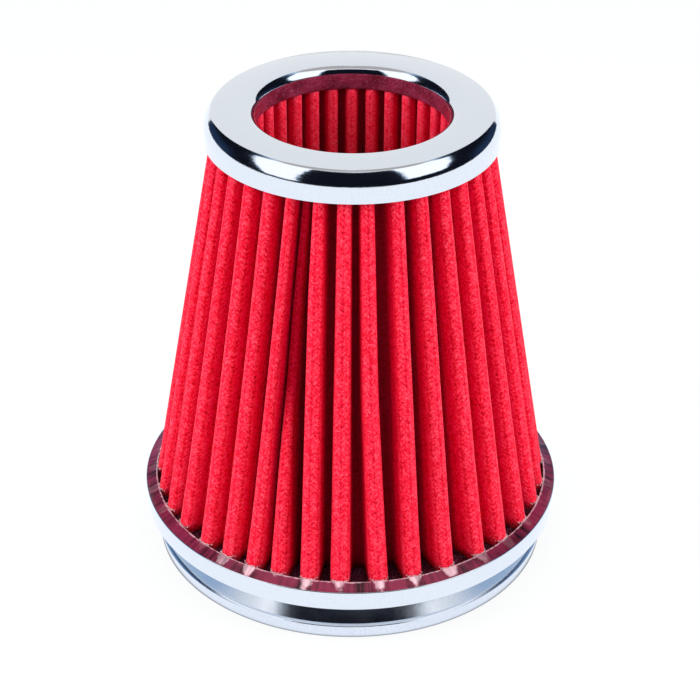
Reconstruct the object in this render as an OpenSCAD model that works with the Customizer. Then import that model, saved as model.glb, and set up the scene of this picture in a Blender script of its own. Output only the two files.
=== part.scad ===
// Cone air filter with a pleated outer cone and a pleated inner well.
// Millimetres, +Z up, origin at the middle of the face it stands on.

/* [Overall] */
// overall height from the standing face to the top of the ring
overall_h = 170.6; // [150:0.1:200]
// steps round the lathe-turned shapes
round_steps = 96; // [48:8:128]

/* [Top ring] */
// radius of the opening in the top
throat_r = 32.9; // [30:0.1:36]
// width of the ring from the opening to the skirt
ring_w = 17.6; // [16:0.1:19]
// height of the ring from the underside of the skirt
ring_h = 11; // [10:0.1:12]
// radius of the round shoulder
shoulder_r = 9.2; // [8:0.1:10]
// how far round the shoulder goes before the flat top, degrees
shoulder_turn = 45; // [40:1:50]
// height of the small edge between shoulder and flat top
edge_h = 0.5; // [0.4:0.05:0.6]
// radius of the rolled edge of the opening
rolled_r = 4; // [3:0.1:5]
// straight wall under the rolled edge
rolled_wall = 1; // [0.6:0.1:2]
// thickness of the pressed top ring
ring_t = 0.9; // [0.7:0.1:1.2]

/* [Outer pleats] */
// number of full pleats at the top
pleat_count = 34; // [32:1:35]
// gap between the pleat tips and the rim of the base
foot_gap = 0.2; // [0.1:0.05:0.5]
// gap between the pleat tips and the inside of the skirt
skirt_gap = 2.2; // [1.5:0.1:3]
// depth of a pleat at the foot
foot_fold = 11.9; // [10:0.1:13]
// depth of a pleat at the top
top_fold = 6.5; // [6:0.1:7]
// share of the pitch that a pleat tip takes up
tip_share = 0.56; // [0.5:0.01:0.6]
// roundness of a pleat tip, 1 for a half circle
tip_round = 0.35; // [0.3:0.05:1]
// share of the room at its bottom that a groove takes up
groove_share = 0.46; // [0.4:0.01:0.5]
// thickness of the filter cloth
cloth_t = 1; // [0.8:0.05:1.1]
// direction of the first pleat, degrees
first_pleat = -103.6; // [-120:0.1:-90]
// direction of the tucked pleat at the top, before the pleat beside it, degrees
tuck_top = 5.4; // [5:0.1:5.6]
// direction of the tucked pleat at the foot, before the pleat beside it, degrees
tuck_foot = 7; // [6:0.1:8]
// how far the tip of the tucked pleat stands out of its groove at the top
tuck_rise = 2.7; // [2.4:0.1:3]
// how far the tip of the tucked pleat lies below the other tips at half height
tuck_mid = 5.5; // [3:0.1:6]
// number of the pleat that is drawn to the one before it
drawn_pleat = 3; // [2:1:30]
// how far that pleat is drawn from half height upwards, degrees
drawn = 1.5; // [0:0.1:2]
// how far the pleats on one side of the tuck are pushed at the foot, degrees
push_left = 4.3; // [3:0.1:4.5]
// how far the pleats on its other side are pushed at the foot, degrees
push_right = 1.7; // [1:0.1:2]
// uneven spacing of the feet, degrees
uneven = 0.5; // [0:0.1:0.8]

/* [Well pleats] */
// number of pleats round the well
well_count = 32; // [30:1:33]
// height of the well pleats
well_h = 77.8; // [60:0.1:90]
// how far the tips stand back from the opening
well_back = 0.4; // [0.2:0.1:0.8]
// how much narrower the well is at its foot
well_taper = 1.3; // [0.5:0.1:3]
// depth of a well pleat at the foot
well_fold = 9; // [7:0.1:10]
// share of the pitch that a well pleat tip takes up
well_share = 0.58; // [0.52:0.01:0.6]
// thickness of the cloth round the well
well_cloth_t = 0.9; // [0.7:0.05:0.95]
// direction of the first well pleat, degrees
first_well = 90.5; // [80:0.1:100]

/* [Top sealing compound] */
// depth of the compound over the outer pleats, from the top of the ring
seal_depth = 6.6; // [6:0.1:7.2]
// depth of the lip over the well pleats, from the top of the ring
lip_depth = 8.8; // [8:0.1:9.6]
// gap between the lip and the cage
lip_gap = 0.3; // [0.2:0.05:0.4]
// how far the well folds stand back from the edge of the lip
fold_back = 0.1; // [0.1:0.05:0.4]

/* [Support cage] */
// number of upright bars
bar_count = 24; // [20:1:30]
// width of a bar
bar_w = 1.2; // [1:0.1:2]
// thickness of the bars and of the end bands
bar_t = 0.8; // [0.6:0.1:0.9]
// gap between cloth and bars
bar_gap = 0.2; // [0.15:0.01:0.25]
// number of hoops between the end bands
hoop_count = 5; // [3:1:7]
// height of a hoop
hoop_h = 1.2; // [1:0.1:2]
// depth of a hoop towards the axis
hoop_t = 0.9; // [0.7:0.1:1.2]
// how far the hoops are welded into the bars
weld = 0.3; // [0.2:0.05:0.4]
// how deep the end bands sit in the compound
band_depth = 3; // [2:0.1:3.2]
// how far the end bands stand out of the compound
band_out = 1; // [0.6:0.1:1.2]

/* [Well cap] */
// thickness of the well cap
cap_t = 0.9; // [0.7:0.1:1.2]
// gap between the folds and the cap wall
cap_gap = 0.4; // [0.3:0.05:0.8]
// depth of the compound in the cap
cap_seal_h = 3.1; // [2.5:0.1:4]
// how far the cap wall rises past the compound
cap_wall_h = 3; // [2:0.1:6]

/* [Base pan] */
// outer radius of the base
base_r = 76; // [70:0.1:82]
// underside of the base rim
rim_z = 15.8; // [14.5:0.1:17.5]
// height of the base rim
rim_h = 7.5; // [7:0.1:8.5]
// width of the base rim
rim_w = 3.8; // [3.4:0.1:4.4]
// thickness of the pressed steel
sheet_t = 1; // [0.8:0.1:1.1]
// radius of the outer top edge of the rim
rim_round = 1.2; // [0.8:0.1:1.5]
// radius of the inner top edge of the rim
lip_round = 0.8; // [0.5:0.1:1]
// how far the turned-in edge reaches under the rim
hem_w = 6; // [4:0.1:7]
// how far the compound lies below the top of the rim
seal_drop = 0.8; // [0.5:0.1:1]
// how far the compound reaches past the cage towards the axis
seal_past = 3.1; // [2:0.1:4]

/* [Foot ring] */
// how far the foot stands back from the rim
foot_step = 4.1; // [3.6:0.1:5]
// how much narrower the foot is at the standing face
foot_taper = 0.5; // [0.3:0.1:0.8]
// height of the foot
foot_h = 5.4; // [4.8:0.1:6]
// width of the ledge between foot and cove
foot_ledge = 1.1; // [0.9:0.1:1.3]
// width of the seam flange from the neck to the rim
seam_w = 6; // [5:0.1:7]
// height of the cove
cove_h = 8.1; // [7.2:0.1:8.6]

/* [Inlet collar] */
// radius of the inlet bore
inlet_r = 38; // [34:0.1:41]
// wall of the collar
collar_wall = 4.5; // [4:0.1:6]
// lower end of the collar above the standing face
collar_z = 1.5; // [1:0.1:3]
// how far the upper flange laps the floor of the pan
lap_w = 5; // [4:0.1:6]
// how far the lower flange laps the floor of the pan
under_w = 10; // [6:0.1:12]
// thickness of both flanges
flange_t = 3; // [2.5:0.1:3.4]
// bevel at the ends of the bore
bore_bevel = 1; // [0.5:0.1:1.5]

/* [Hidden] */
spacing = 360 / pleat_count;
well_spacing = 360 / well_count;

skirt_r = throat_r + ring_w;
skirt_z = overall_h - ring_h;
seal_z = overall_h - seal_depth;
lip_z = overall_h - lip_depth;

rim_in_r = base_r - rim_w;
rim_top_z = rim_z + rim_h;
floor_z = rim_z + 2 * sheet_t;
floor_top = floor_z + sheet_t;
foot_z0 = rim_top_z - seal_drop;

tip_foot_r = rim_in_r - foot_gap;
tip_top_r = skirt_r - ring_t - skirt_gap;
groove_foot_r = tip_foot_r - foot_fold;
groove_top_r = tip_top_r - top_fold;
tuck_tip_r = groove_top_r + tuck_rise;

cage_foot_r = groove_foot_r - cloth_t - bar_gap;
cage_top_r = groove_top_r - cloth_t - bar_gap;
cage_slope = (cage_top_r - cage_foot_r) / (seal_z - foot_z0);

lip_r = cage_top_r - bar_t - lip_gap;
well_top_r = throat_r + well_back;
well_foot_r = well_top_r - well_taper;
fold_top_r = lip_r - well_cloth_t - fold_back;
fold_foot_r = well_foot_r + well_fold;
well_foot_z = lip_z - well_h;

cap_r = fold_foot_r + well_cloth_t + cap_gap;
cap_z = well_foot_z - cap_seal_h - cap_t;

foot_seal_r = cage_foot_r - bar_t - seal_past;
pan_hole_r = foot_seal_r - lap_w;
under_r = pan_hole_r + under_w;

foot_top_r = base_r - foot_step;
foot_r = foot_top_r - foot_taper;
cove_low_r = foot_top_r - foot_ledge;
cove_neck_r = rim_in_r - seam_w;
cove_in = cove_low_r - cove_neck_r;
cove_neck_z = foot_h + cove_h;

// points of a part circle, angles in degrees
function arc(cx, cz, r, a0, a1, n) =
    [for (i = [0:n]) [cx + r * cos(a0 + (a1 - a0) * i / n), cz + r * sin(a0 + (a1 - a0) * i / n)]];

// outside of the top ring drawn inwards by "d", from the skirt to the opening
function ring_line(d) = concat(
    [[skirt_r - d, skirt_z]],
    arc(skirt_r - shoulder_r, overall_h - shoulder_r * sin(shoulder_turn) - edge_h,
        shoulder_r - d, 0, shoulder_turn, 6),
    [[skirt_r - shoulder_r + shoulder_r * cos(shoulder_turn) - 2 * edge_h - 0.4 * d, overall_h - d]],
    arc(throat_r + rolled_r, overall_h - rolled_r, rolled_r - d, 90, 180, 6),
    [[throat_r + d, overall_h - rolled_r - rolled_wall]]);

function back(v) = [for (i = [len(v) - 1:-1:0]) v[i]];

// direction of outer pleat k at the top and at the foot; number 0 is the tucked one
function top_turn(k) = k == 0 ? first_pleat - tuck_top : first_pleat + (k - 1) * spacing;
function foot_turn(k) = k == 0 ? first_pleat - tuck_foot
    : top_turn(k) + push_right * exp((1 - k) / 1.2) - push_left * exp((k - pleat_count) / 1.6)
        + uneven * sin(k * 137);

// turn of pleat k at share t of the height
function turn_at(k, t) = foot_turn(k) * (1 - t) + top_turn(k) * t
    - (k == drawn_pleat ? drawn * min(1, 2 * t) : 0);

// tip radius of pleat k at share t of the height, which is 0, a half or 1
function tip_at(k, t) =
    let (plain = tip_foot_r + (tip_top_r - tip_foot_r) * t)
    k > 0 || t == 0 ? plain : t == 1 ? tuck_tip_r : plain - tuck_mid;

// one outline of a pleated cloth: centre turns "a", tip radius, groove radius, tip half
// width, groove half width, the sign that says whether tips point out or in, how many
// pleats, and how round the tips are
function fold_line(a, tip, low, tip_w, low_w, s, m, r) = [for (k = [0:m - 1])
    let (
        here = a[k],
        next = k == m - 1 ? a[0] + 360 : a[k + 1],
        mid = (here + next) / 2)
    each concat(
        [for (f = [-90:30:90]) let (x = tip_w[k] * sin(f), y = tip[k] - s * r * tip_w[k] * (1 - cos(f)))
            [y * cos(here) - x * sin(here), y * sin(here) + x * cos(here)]],
        [for (f = [-1:1]) let (x = low_w[k] * f, y = low + s * low_w[k] * abs(f))
            [y * cos(mid) - x * sin(mid), y * sin(mid) + x * cos(mid)]])];

// sheet between two folded outlines carried through the given heights
module folded_sheet(lines_a, lines_b, heights) {
    n = len(lines_a[0]);
    last = len(heights) - 1;
    points = [for (j = [0:last]) each concat(
        [for (p = lines_a[j]) [p[0], p[1], heights[j]]],
        [for (p = lines_b[j]) [p[0], p[1], heights[j]]])];
    sides = [for (j = [0:last - 1]) for (i = [0:n - 1])
        let (
            e = (i + 1) % n,
            a0 = 2 * n * j + i,
            a1 = 2 * n * j + e,
            b0 = a0 + n,
            b1 = a1 + n,
            up = 2 * n)
        each [[a0, a1 + up, a1], [a0, a0 + up, a1 + up], [b0, b1, b1 + up], [b0, b1 + up, b0 + up]]];
    ends = [for (i = [0:n - 1])
        let (e = (i + 1) % n, t = 2 * n * last)
        each [[i, e, n + e], [i, n + e, n + i], [t + i, t + n + e, t + e], [t + i, t + n + i, t + n + e]]];
    polyhedron(points, concat(sides, ends), convexity = 10);
}

module top_ring() {
    color([0.86, 0.88, 0.91])
    rotate_extrude($fn = round_steps)
    polygon(concat(ring_line(0), back(ring_line(ring_t))));
}

module top_compound() {
    inner = back(ring_line(ring_t));
    color([0.42, 0.1, 0.17])
    rotate_extrude($fn = round_steps)
    polygon(concat(
        [for (i = [0:len(inner) - 2]) inner[i]],
        [[skirt_r - ring_t, seal_z],
        [cage_top_r, seal_z],
        [cage_top_r, seal_z + band_depth],
        [cage_top_r - bar_t, seal_z + band_depth],
        [cage_top_r - bar_t, seal_z],
        [lip_r, seal_z],
        [lip_r, lip_z],
        [throat_r, lip_z],
        [throat_r, overall_h - rolled_r - rolled_wall]]));
}

module outer_pleats() {
    turn = pleat_count + 1;
    rise = seal_z - foot_z0;
    steps = [0, 0.5, 1];
    tips = [for (t = steps) [for (k = [0:pleat_count]) tip_at(k, t)]];
    turns = [for (t = steps) [for (k = [0:pleat_count]) turn_at(k, t)]];
    lows = [for (t = steps) groove_foot_r + (groove_top_r - groove_foot_r) * t];
    gaps = [for (j = [0:2]) [for (k = [0:pleat_count])
        (k == pleat_count ? turns[j][0] + 360 : turns[j][k + 1]) - turns[j][k]]];
    widths = [for (j = [0:2]) [for (k = [0:pleat_count])
        let (full = tip_share * spacing / 2 * PI / 180 * (tip_foot_r + (tip_top_r - tip_foot_r) * steps[j]))
        k == 0 ? full * (1 - steps[j]) + (cloth_t + 0.3) * steps[j] : full]];
    room = [for (j = [0:2]) [for (k = [0:pleat_count])
        groove_share * gaps[j][k] / 2 * PI / 180 * lows[j] - (gaps[j][k] < 6 ? 0.5 : 0)]];
    color([0.85, 0.05, 0.14])
    folded_sheet(
        [for (j = [0:2]) fold_line(turns[j], tips[j], lows[j], widths[j], room[j], 1, turn, tip_round)],
        [for (j = [0:2]) fold_line(turns[j], [for (v = tips[j]) v - cloth_t], lows[j] - cloth_t,
            [for (v = widths[j]) v - cloth_t], [for (v = room[j]) v + cloth_t], 1, turn, tip_round)],
        [for (t = steps) foot_z0 + rise * t]);
}

module well_pleats() {
    turns = [for (k = [0:well_count - 1]) first_well + k * well_spacing];
    half = well_spacing / 2 * PI / 180;
    tip_w = [for (r = [well_foot_r, well_top_r]) [for (k = turns) well_share * half * r]];
    low_w = [for (r = [fold_foot_r, fold_top_r]) [for (k = turns) (1 - well_share) * half * r]];
    tips = [for (r = [well_foot_r, well_top_r]) [for (k = turns) r]];
    lows = [fold_foot_r, fold_top_r];
    color([0.75, 0.04, 0.12])
    folded_sheet(
        [for (j = [0:1]) fold_line(turns, [for (v = tips[j]) v + well_cloth_t], lows[j] + well_cloth_t,
            [for (v = tip_w[j]) v - well_cloth_t], [for (v = low_w[j]) v + well_cloth_t], -1, well_count, 1)],
        [for (j = [0:1]) fold_line(turns, tips[j], lows[j], tip_w[j], low_w[j], -1, well_count, 1)],
        [well_foot_z, lip_z]);
}

module support_cage() {
    length = norm([cage_top_r - cage_foot_r, seal_z - foot_z0]);
    lean = atan(-cage_slope);
    pitch = (seal_z - foot_z0) / (hoop_count + 1);
    color([0.6, 0.61, 0.63]) {
        rotate_extrude($fn = round_steps)
        translate([cage_foot_r - bar_t, foot_z0 - band_depth])
        square([bar_t, band_depth + band_out]);
        rotate_extrude($fn = round_steps)
        translate([cage_top_r - bar_t, seal_z - 2 * band_out])
        square([bar_t, band_depth + 2 * band_out]);
        for (i = [1:hoop_count])
            rotate_extrude($fn = round_steps)
            translate([cage_foot_r + cage_slope * pitch * i - bar_t + weld - hoop_t,
                foot_z0 + pitch * i - hoop_h / 2])
            square([hoop_t, hoop_h]);
        for (i = [0:bar_count - 1])
            rotate([0, 0, i * 360 / bar_count])
            translate([cage_foot_r, 0, foot_z0])
            rotate([0, -lean, 0])
            translate([-bar_t, -bar_w / 2, 0])
            cube([bar_t, bar_w, length]);
    }
}

module well_cap() {
    color([0.7, 0.71, 0.72])
    rotate_extrude($fn = round_steps)
    polygon([
        [0, cap_z],
        [cap_r + cap_t, cap_z],
        [cap_r + cap_t, well_foot_z + cap_wall_h],
        [cap_r, well_foot_z + cap_wall_h],
        [cap_r, cap_z + cap_t],
        [0, cap_z + cap_t]]);
}

module well_cap_compound() {
    color([0.42, 0.1, 0.17])
    translate([0, 0, cap_z + cap_t])
    cylinder(h = cap_seal_h, r = cap_r, $fn = round_steps);
}

module base_pan() {
    top = rim_top_z;
    color([0.88, 0.9, 0.93])
    rotate_extrude($fn = round_steps)
    polygon(concat(
        [[base_r - hem_w, rim_z],
        [base_r - 0.4, rim_z],
        [base_r, rim_z + 0.4]],
        arc(base_r - rim_round, top - rim_round, rim_round, 0, 90, 4),
        arc(rim_in_r + lip_round, top - lip_round, lip_round, 90, 180, 3),
        [[rim_in_r, floor_top],
        [pan_hole_r, floor_top],
        [pan_hole_r, floor_z],
        [rim_in_r + sheet_t, floor_z],
        [rim_in_r + sheet_t, top - sheet_t],
        [base_r - sheet_t, top - sheet_t],
        [base_r - sheet_t, rim_z + sheet_t],
        [base_r - hem_w, rim_z + sheet_t]]));
}

module base_compound() {
    color([0.16, 0.05, 0.09])
    rotate_extrude($fn = round_steps)
    polygon([
        [foot_seal_r, floor_top],
        [rim_in_r, floor_top],
        [rim_in_r, foot_z0],
        [cage_foot_r, foot_z0],
        [cage_foot_r, foot_z0 - band_depth],
        [cage_foot_r - bar_t, foot_z0 - band_depth],
        [cage_foot_r - bar_t, foot_z0],
        [foot_seal_r, foot_z0]]);
}

module foot_ring() {
    color([0.85, 0.87, 0.9])
    rotate_extrude($fn = round_steps)
    polygon([
        [foot_r - 0.4, 0],
        [foot_r, 0.4],
        [foot_top_r, foot_h - 0.3],
        [foot_top_r - 0.3, foot_h],
        [cove_low_r, foot_h + 0.4],
        [cove_low_r - 0.5652 * cove_in, foot_h + 0.5185 * cove_h],
        [cove_neck_r + 0.1304 * cove_in, cove_neck_z - 0.1481 * cove_h],
        [cove_neck_r, cove_neck_z],
        [cove_neck_r, rim_z + sheet_t],
        [rim_in_r, rim_z + sheet_t],
        [rim_in_r, floor_z],
        [cove_neck_r - sheet_t, floor_z],
        [cove_neck_r - sheet_t, cove_neck_z - 0.3],
        [cove_low_r - 0.5652 * cove_in - 1.1 * sheet_t, foot_h + 0.5185 * cove_h],
        [cove_low_r - 1.1 * sheet_t, foot_h],
        [foot_top_r - 1.1 * sheet_t, foot_h - 0.8],
        [foot_r - 1.1 * sheet_t, 0]]);
}

module inlet_collar() {
    top = floor_top + flange_t;
    out = inlet_r + collar_wall;
    color([0.09, 0.09, 0.1])
    rotate_extrude($fn = round_steps)
    polygon([
        [inlet_r + bore_bevel, collar_z],
        [out - 0.6, collar_z],
        [out, collar_z + 0.6],
        [out, floor_z - flange_t],
        [under_r, floor_z - flange_t],
        [under_r, floor_z],
        [pan_hole_r, floor_z],
        [pan_hole_r, floor_top],
        [foot_seal_r, floor_top],
        [foot_seal_r, top - 0.6],
        [foot_seal_r - 0.6, top],
        [inlet_r + bore_bevel, top],
        [inlet_r, top - bore_bevel],
        [inlet_r, collar_z + bore_bevel]]);
}

top_ring();
top_compound();
outer_pleats();
well_pleats();
support_cage();
well_cap();
well_cap_compound();
base_pan();
base_compound();
foot_ring();
inlet_collar();
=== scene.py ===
import math
from functools import partial

import bpy
from mathutils import Euler, Matrix, Vector


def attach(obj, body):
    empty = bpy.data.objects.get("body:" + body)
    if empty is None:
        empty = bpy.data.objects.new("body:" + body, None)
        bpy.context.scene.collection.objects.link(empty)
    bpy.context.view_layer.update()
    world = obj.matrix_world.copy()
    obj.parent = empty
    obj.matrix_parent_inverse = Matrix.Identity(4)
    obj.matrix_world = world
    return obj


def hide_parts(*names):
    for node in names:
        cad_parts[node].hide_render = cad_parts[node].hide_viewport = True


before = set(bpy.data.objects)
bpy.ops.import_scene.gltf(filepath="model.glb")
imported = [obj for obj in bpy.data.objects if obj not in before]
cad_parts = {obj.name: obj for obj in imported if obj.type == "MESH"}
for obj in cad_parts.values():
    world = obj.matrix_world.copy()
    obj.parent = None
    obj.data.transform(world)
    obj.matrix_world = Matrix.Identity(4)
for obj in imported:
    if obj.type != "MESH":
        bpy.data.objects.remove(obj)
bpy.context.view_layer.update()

print("frame loaded:", len(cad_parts), "nodes")

# kinds and settings that many nodes share
mathNode = "ShaderNodeMath"
noiseNode = "ShaderNodeTexNoise"
rangeNode = "ShaderNodeMapRange"
vectorNode = "ShaderNodeVectorMath"
joinNode = "ShaderNodeCombineXYZ"
splitNode = "ShaderNodeSeparateXYZ"
surfaceNode = "ShaderNodeBsdfPrincipled"
eased = {"interpolation_type": "SMOOTHSTEP"}
inColour = {"data_type": "RGBA"}


def linearColour(text):
    # sRGB hex text to linear RGBA
    parts = [int(text[i:i + 2], 16) / 255 for i in (0, 2, 4)]
    return tuple(c / 12.92 if c <= 0.04045 else ((c + 0.055) / 1.055) ** 2.4 for c in parts) + (1.0,)


def addNode(tree, kind, settings=None, inputs=None):
    # settings are node properties, or the name of its operation; inputs are numbers, sockets, or nodes,
    # which stand for their first output, by name or in order
    made = tree.nodes.new(kind)
    if isinstance(settings, str):
        settings = {"operation": settings}
    for key, value in (settings or {}).items():
        if key == "stops":
            line = made.color_ramp.elements
            for i, (place, text) in enumerate(value):
                stop = line[i] if i < 2 else line.new(place)
                stop.position = place
                stop.color = linearColour(text)
        elif key == "points":
            line = made.mapping.curves[0].points
            while len(line) < len(value):
                line.new(0.5, 0.5)
            for point, place in zip(line, value):
                point.location = place
                point.handle_type = "AUTO"
            made.mapping.update()
        else:
            setattr(made, key, value)
    if not isinstance(inputs, dict):
        inputs = dict(enumerate(inputs or ()))
    for key, value in inputs.items():
        if isinstance(value, bpy.types.Node):
            value = value.outputs[0]
        if isinstance(value, bpy.types.NodeSocket):
            tree.links.new(value, made.inputs[key])
        else:
            made.inputs[key].default_value = value
    return made


# object coordinates are in metres, so a noise at scale 1000 has grains of about a millimetre
def newMaterial(name):
    material = bpy.data.materials.new(name)
    material.use_nodes = True
    add = partial(addNode, material.node_tree)
    material.node_tree.nodes.clear()
    return material, add, add("ShaderNodeTexCoord").outputs["Object"]


def newObject(name, mesh):
    made = bpy.data.objects.new(name, mesh)
    bpy.context.scene.collection.objects.link(made)
    return made


def meshObject(name, points, faces, smooth=True):
    mesh = bpy.data.meshes.new(name)
    mesh.from_pydata(points, [], faces)
    mesh.validate()
    mesh.update()
    for face in mesh.polygons:
        face.use_smooth = smooth
    return newObject(name, mesh)


# metres and degrees, fitted to the outlines in the photo
cameraSizes = {"distance": 0.7362, "tilt": 31.549, "roll": 0.341, "targetZ": 0.07434, "lens": 104.94,
               "shiftX": -0.00157}


def makeCamera(v):
    data = bpy.data.cameras.new("camera")
    data.lens = v["lens"]
    data.sensor_width = 36
    data.shift_x = v["shiftX"]
    data.clip_start = 0.01
    data.clip_end = 20
    made = newObject("camera", data)
    e = math.radians(v["tilt"])
    place = Vector((0, -v["distance"] * math.cos(e), v["targetZ"] + v["distance"] * math.sin(e)))
    tilt = Euler((math.radians(90 - v["tilt"]), 0, 0)).to_matrix()
    roll = Euler((0, 0, math.radians(v["roll"]))).to_matrix()
    made.matrix_world = Matrix.Translation(place) @ (tilt @ roll).to_4x4()
    bpy.context.scene.camera = made


makeCamera(cameraSizes)
print("camera placed")


# a lathe turns a closed outline of (radius, height) in mm; a corner listed in "sharp"
# keeps its crease, so arcs stay smooth and pressed edges stay crisp
def lathe(name, outline, steps, sharp):
    count = len(outline)
    points = []
    for i in range(steps):
        a = 2 * math.pi * i / steps
        points += [(r * math.cos(a) / 1000, r * math.sin(a) / 1000, z / 1000) for r, z in outline]
    faces = []
    for i in range(steps):
        n = (i + 1) % steps
        for j in range(count):
            k = (j + 1) % count
            faces.append((i * count + j, n * count + j, n * count + k, i * count + k))
    made = meshObject(name, points, faces)
    nextPoints = outline[1:] + outline[:1]
    if sum(a[0] * b[1] - b[0] * a[1] for a, b in zip(outline, nextPoints)) < 0:
        made.data.flip_normals()
    for edge in made.data.edges:
        a, b = edge.vertices
        if a % count == b % count and a % count in sharp:
            edge.use_edge_sharp = True
    return made


def arcPoints(cx, cz, r, a0, a1, n):
    turns = [math.radians(a0 + (a1 - a0) * i / n) for i in range(n + 1)]
    return [(cx + r * math.cos(a), cz + r * math.sin(a)) for a in turns]


def smoothLine(line, parts):
    # Catmull-Rom through the given points
    out = []
    for i in range(len(line) - 1):
        a, b, c, d = line[max(i - 1, 0)], line[i], line[i + 1], line[min(i + 2, len(line) - 1)]
        for k in range(parts):
            t = k / parts
            out.append(tuple(0.5 * (2 * b[m] + (c[m] - a[m]) * t + (2 * a[m] - 5 * b[m] + 4 * c[m] - d[m]) * t * t
                                    + (3 * b[m] - a[m] - 3 * c[m] + d[m]) * t ** 3) for m in (0, 1)))
    return out + [line[-1]]


def sharpCorners(outline, limit):
    # corners that turn by more than the limit, in degrees
    found = set()
    for j, (bx, bz) in enumerate(outline):
        ax, az = outline[j - 1]
        cx, cz = outline[(j + 1) % len(outline)]
        turn = math.degrees(math.atan2(cz - bz, cx - bx) - math.atan2(bz - az, bx - ax))
        if abs((turn + 180) % 360 - 180) > limit:
            found.add(j)
    return found


# lengths in mm and turns in degrees for all turned pieces
topRing = {"topZ": 170.6, "throatR": 32.9, "skirtR": 50.5, "skirtZ": 159.6, "shoulderR": 9.2, "shoulderTurn": 45,
           "edgeH": 0.5, "rolledR": 4, "rolledWall": 1, "sheet": 0.9}


def ringLine(v, d):
    # the outside of the ring, drawn inwards by d
    edge = v["skirtR"] - v["shoulderR"]
    turn = math.radians(v["shoulderTurn"])
    shoulderZ = v["topZ"] - v["shoulderR"] * math.sin(turn) - v["edgeH"]
    line = [(v["skirtR"] - d, v["skirtZ"])]
    line += arcPoints(edge, shoulderZ, v["shoulderR"] - d, 0, v["shoulderTurn"], 20)
    line += [(edge + v["shoulderR"] * math.cos(turn) - 2 * v["edgeH"] - 0.4 * d, v["topZ"] - d)]
    line += arcPoints(v["throatR"] + v["rolledR"], v["topZ"] - v["rolledR"], v["rolledR"] - d, 90, 180, 18)
    return line + [(v["throatR"] + d, v["topZ"] - v["rolledR"] - v["rolledWall"])]


def topRingOutline(v):
    return ringLine(v, 0) + ringLine(v, v["sheet"])[::-1]


topCompound = {"sealZ": 164, "lipZ": 161.8, "lipR": 38.6, "lipRound": 0.8, "film": 0.06, "creep": 17, "bite": 0.15}


def topCompoundOutline(v, ring):
    # the poured lip has a small round below and creeps up the rolled edge as a thin film
    throatR, rolledR = ring["throatR"], ring["rolledR"]
    centreR, centreZ = throatR + rolledR, ring["topZ"] - rolledR
    line = ringLine(ring, ring["sheet"])[:0:-1]
    line += [(ring["skirtR"] - ring["sheet"], v["sealZ"]), (v["lipR"], v["sealZ"]), (v["lipR"], v["lipZ"])]
    line += arcPoints(throatR + v["lipRound"], v["lipZ"] + v["lipRound"], v["lipRound"] + v["film"], 270, 180, 6)
    line += arcPoints(centreR, centreZ, rolledR + v["film"], 180, 180 - v["creep"], 8)
    line += arcPoints(centreR, centreZ, rolledR - v["bite"], 180 - v["creep"], 180, 8)
    return line + [(throatR + v["bite"], centreZ - ring["rolledWall"])]


basePan = {"outerR": 76, "innerR": 72.2, "rimZ": 15.8, "topZ": 23.3, "sheet": 1, "rimRound": 0.4, "lipRound": 0.8,
           "holeR": 50, "hem": 6, "hemRound": 0.4}


def basePanOutline(v):
    outerR, innerR, top, t = v["outerR"], v["innerR"], v["topZ"], v["sheet"]
    hemR, rimZ = outerR - v["hem"], v["rimZ"]
    line = [(hemR, rimZ), (outerR - v["hemRound"], rimZ), (outerR, rimZ + v["hemRound"])]
    line += arcPoints(outerR - v["rimRound"], top - v["rimRound"], v["rimRound"], 0, 90, 10)
    line += arcPoints(innerR + v["lipRound"], top - v["lipRound"], v["lipRound"], 90, 180, 8)
    line += [(innerR, rimZ + 3 * t), (v["holeR"], rimZ + 3 * t), (v["holeR"], rimZ + 2 * t)]
    line += [(innerR + t, rimZ + 2 * t), (innerR + t, top - t), (outerR - t, top - t)]
    return line + [(outerR - t, rimZ + t), (hemR, rimZ + t)]


# "slope" holds shares of the film's width; "crest" and "back" are how far inside the ridge's tip,
# and how far below the ridge or above the pleats' feet, the points behind it lie
baseCompound = {"innerR": 55, "cageR": 58.9, "footZ": 22.5, "ridgeH": 2.4, "inset": 0.1, "filmR": 75.75,
                "filmH": 0.02, "filmUnder": 0.12, "lipUnder": 0.6, "filmRun": 1.15,
                "slope": (0.0, 0.2, 0.4, 0.6, 0.8, 0.93),
                "crest": ((0, 0), (0.3, 0.05), (0.6, 0.8)), "back": ((0.9, 0.6), (1.5, 0.1), (2.4, 0))}


def baseCompoundOutline(v, pan):
    # pressed out by the pleats' feet, the compound stands in a low ridge against them
    # and runs out over the rim as a film
    low, foot, top, inset = pan["rimZ"] + 3 * pan["sheet"], v["footZ"], pan["topZ"], v["inset"]
    ridge, tip, lipR, filmR = foot + v["ridgeH"], pan["innerR"] - inset, pan["innerR"] + inset, v["filmR"]
    line = [(v["innerR"], low), (pan["innerR"], low), (lipR, top - v["lipUnder"])]
    line += [(filmR - inset, top - v["filmUnder"])]
    for t in v["slope"]:
        line.append((filmR + (lipR - filmR) * t, top - v["filmH"] + (ridge - inset - top) * t ** v["filmRun"]))
    line += [(tip - x, ridge - z) for x, z in v["crest"]] + [(tip - x, foot + z) for x, z in v["back"]]
    return line + [(v["cageR"], foot), (v["innerR"], foot)]


# the cove is one smooth sweep through the points the pressing passes
footRing = {"edge": [(71.0, 0), (71.4, 0.4), (71.9, 5.1), (71.6, 5.4)],
            "cove": [(70.8, 5.8), (68.2, 9.6), (66.8, 12.3), (66.2, 13.5)],
            "neck": [(66.2, 16.8), (72.2, 16.8), (72.2, 17.8), (65.2, 17.8)],
            "inside": [(65.2, 13.2), (67.1, 9.6), (69.7, 5.4), (70.8, 4.6), (70.3, 0)]}


def footRingOutline(v):
    return v["edge"] + smoothLine(v["cove"], 8) + v["neck"] + v["inside"]


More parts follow.
